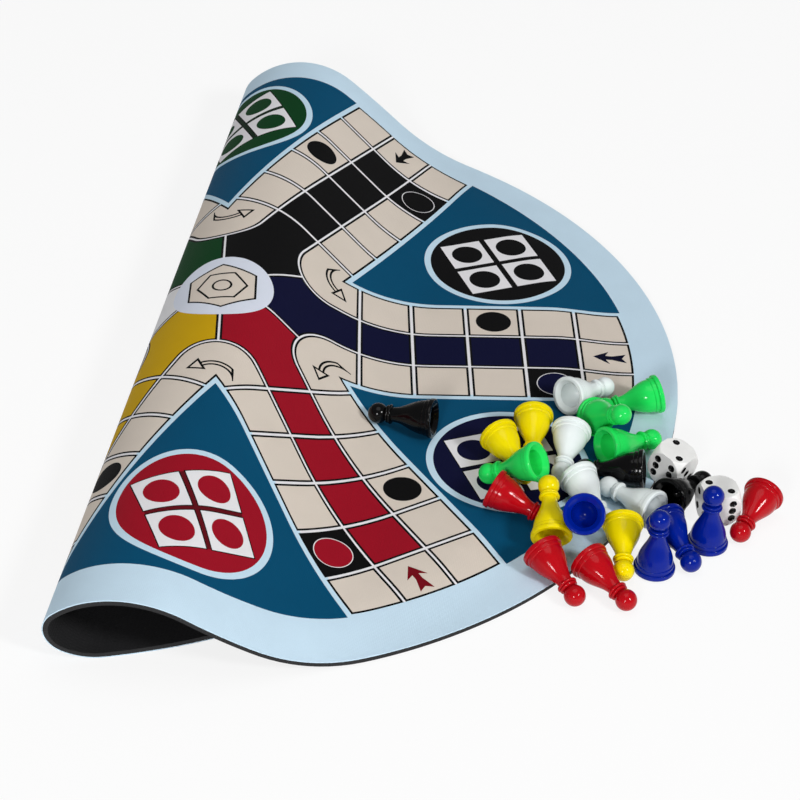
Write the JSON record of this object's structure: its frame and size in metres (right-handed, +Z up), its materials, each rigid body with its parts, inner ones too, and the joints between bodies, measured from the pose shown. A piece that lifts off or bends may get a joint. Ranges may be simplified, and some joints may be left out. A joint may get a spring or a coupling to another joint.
{
  "type": "round folding race board game mat",
  "caption": "Round rubber-backed game mat with a printed race track, folded over itself, with a heap of moulded pawns and dice that lift off.",
  "frame": {"origin": "on the table, under the line where the fold starts to rise from the flat part of the mat, on the printed face of the folded part", "axes": "+X along the flat part towards the open rim, +Y along the fold, +Z up from the table"},
  "size_m": [0.2608, 0.4, 0.0367],
  "materials": {
    "mat_cloth": "printed fine weave, matt",
    "mat_rubber": "matt, fine grain",
    "white_plastic": "moulded, glossy",
    "green_plastic": "moulded, glossy",
    "yellow_plastic": "moulded, glossy",
    "blue_plastic": "moulded, glossy",
    "red_plastic": "moulded, glossy",
    "black_plastic": "moulded, glossy",
    "die_plastic": "moulded, glossy"
  },
  "bodies": {
    "mat": {"mat_base": "mat_rubber", "mat_face": "mat_cloth"},
    "white_pawn_1": {"white_pawn_1": "white_plastic"},
    "white_pawn_2": {"white_pawn_2": "white_plastic"},
    "white_pawn_3": {"white_pawn_3": "white_plastic"},
    "white_pawn_4": {"white_pawn_4": "white_plastic"},
    "green_pawn_1": {"green_pawn_1": "green_plastic"},
    "green_pawn_2": {"green_pawn_2": "green_plastic"},
    "green_pawn_3": {"green_pawn_3": "green_plastic"},
    "green_pawn_4": {"green_pawn_4": "green_plastic"},
    "yellow_pawn_1": {"yellow_pawn_1": "yellow_plastic"},
    "yellow_pawn_2": {"yellow_pawn_2": "yellow_plastic"},
    "yellow_pawn_3": {"yellow_pawn_3": "yellow_plastic"},
    "yellow_pawn_4": {"yellow_pawn_4": "yellow_plastic"},
    "blue_pawn_1": {"blue_pawn_1": "blue_plastic"},
    "blue_pawn_2": {"blue_pawn_2": "blue_plastic"},
    "blue_pawn_3": {"blue_pawn_3": "blue_plastic"},
    "blue_pawn_4": {"blue_pawn_4": "blue_plastic"},
    "red_pawn_1": {"red_pawn_1": "red_plastic"},
    "red_pawn_2": {"red_pawn_2": "red_plastic"},
    "red_pawn_3": {"red_pawn_3": "red_plastic"},
    "red_pawn_4": {"red_pawn_4": "red_plastic"},
    "black_pawn_1": {"black_pawn_1": "black_plastic"},
    "black_pawn_2": {"black_pawn_2": "black_plastic"},
    "black_pawn_3": {"black_pawn_3": "black_plastic"},
    "die_1": {"die_1": "die_plastic"},
    "die_2": {"die_2": "die_plastic"}
  },
  "joints": [
    {"name": "white_pawn_1_lift", "type": "slide", "parent": "mat", "child": "white_pawn_1", "axis": [0, 0, 1], "range_m": [0, 0.08]},
    {"name": "white_pawn_2_lift", "type": "slide", "parent": "mat", "child": "white_pawn_2", "axis": [0, 0, 1], "range_m": [0, 0.08]},
    {"name": "white_pawn_3_lift", "type": "slide", "parent": "mat", "child": "white_pawn_3", "axis": [0, 0, 1], "range_m": [0, 0.08]},
    {"name": "white_pawn_4_lift", "type": "slide", "parent": "mat", "child": "white_pawn_4", "axis": [0, 0, 1], "range_m": [0, 0.08]},
    {"name": "green_pawn_1_lift", "type": "slide", "parent": "mat", "child": "green_pawn_1", "axis": [0, 0, 1], "range_m": [0, 0.08]},
    {"name": "green_pawn_2_lift", "type": "slide", "parent": "green_pawn_3", "child": "green_pawn_2", "axis": [0, 0, 1], "range_m": [0, 0.08]},
    {"name": "green_pawn_3_lift", "type": "slide", "parent": "mat", "child": "green_pawn_3", "axis": [0, 0, 1], "range_m": [0, 0.08]},
    {"name": "green_pawn_4_lift", "type": "slide", "parent": "yellow_pawn_2", "child": "green_pawn_4", "axis": [0, 0, 1], "range_m": [0, 0.08]},
    {"name": "yellow_pawn_1_lift", "type": "slide", "parent": "mat", "child": "yellow_pawn_1", "axis": [0, 0, 1], "range_m": [0, 0.08]},
    {"name": "yellow_pawn_2_lift", "type": "slide", "parent": "mat", "child": "yellow_pawn_2", "axis": [0, 0, 1], "range_m": [0, 0.08]},
    {"name": "yellow_pawn_3_lift", "type": "slide", "parent": "red_pawn_1", "child": "yellow_pawn_3", "axis": [0, 0, 1], "range_m": [0, 0.08]},
    {"name": "yellow_pawn_4_lift", "type": "slide", "parent": "mat", "child": "yellow_pawn_4", "axis": [0, 0, 1], "range_m": [0, 0.08]},
    {"name": "blue_pawn_1_lift", "type": "slide", "parent": "yellow_pawn_3", "child": "blue_pawn_1", "axis": [0, 0, 1], "range_m": [0, 0.08]},
    {"name": "blue_pawn_2_lift", "type": "slide", "parent": "mat", "child": "blue_pawn_2", "axis": [0, 0, 1], "range_m": [0, 0.08]},
    {"name": "blue_pawn_3_lift", "type": "slide", "parent": "mat", "child": "blue_pawn_3", "axis": [0, 0, 1], "range_m": [0, 0.08]},
    {"name": "blue_pawn_4_lift", "type": "slide", "parent": "mat", "child": "blue_pawn_4", "axis": [0, 0, 1], "range_m": [0, 0.08]},
    {"name": "red_pawn_1_lift", "type": "slide", "parent": "mat", "child": "red_pawn_1", "axis": [0, 0, 1], "range_m": [0, 0.08]},
    {"name": "red_pawn_2_lift", "type": "slide", "parent": "mat", "child": "red_pawn_2", "axis": [0, 0, 1], "range_m": [0, 0.08]},
    {"name": "red_pawn_3_lift", "type": "slide", "parent": "mat", "child": "red_pawn_3", "axis": [0, 0, 1], "range_m": [0, 0.08]},
    {"name": "red_pawn_4_lift", "type": "slide", "parent": "mat", "child": "red_pawn_4", "axis": [0, 0, 1], "range_m": [0, 0.08]},
    {"name": "black_pawn_1_lift", "type": "slide", "parent": "mat", "child": "black_pawn_1", "axis": [0, 0, 1], "range_m": [0, 0.08]},
    {"name": "black_pawn_2_lift", "type": "slide", "parent": "mat", "child": "black_pawn_2", "axis": [0, 0, 1], "range_m": [0, 0.08]},
    {"name": "black_pawn_3_lift", "type": "slide", "parent": "mat", "child": "black_pawn_3", "axis": [0, 0, 1], "range_m": [0, 0.08]},
    {"name": "die_1_lift", "type": "slide", "parent": "mat", "child": "die_1", "axis": [0, 0, 1], "range_m": [0, 0.08]},
    {"name": "die_2_lift", "type": "slide", "parent": "mat", "child": "die_2", "axis": [0, 0, 1], "range_m": [0, 0.08]}
  ]
}
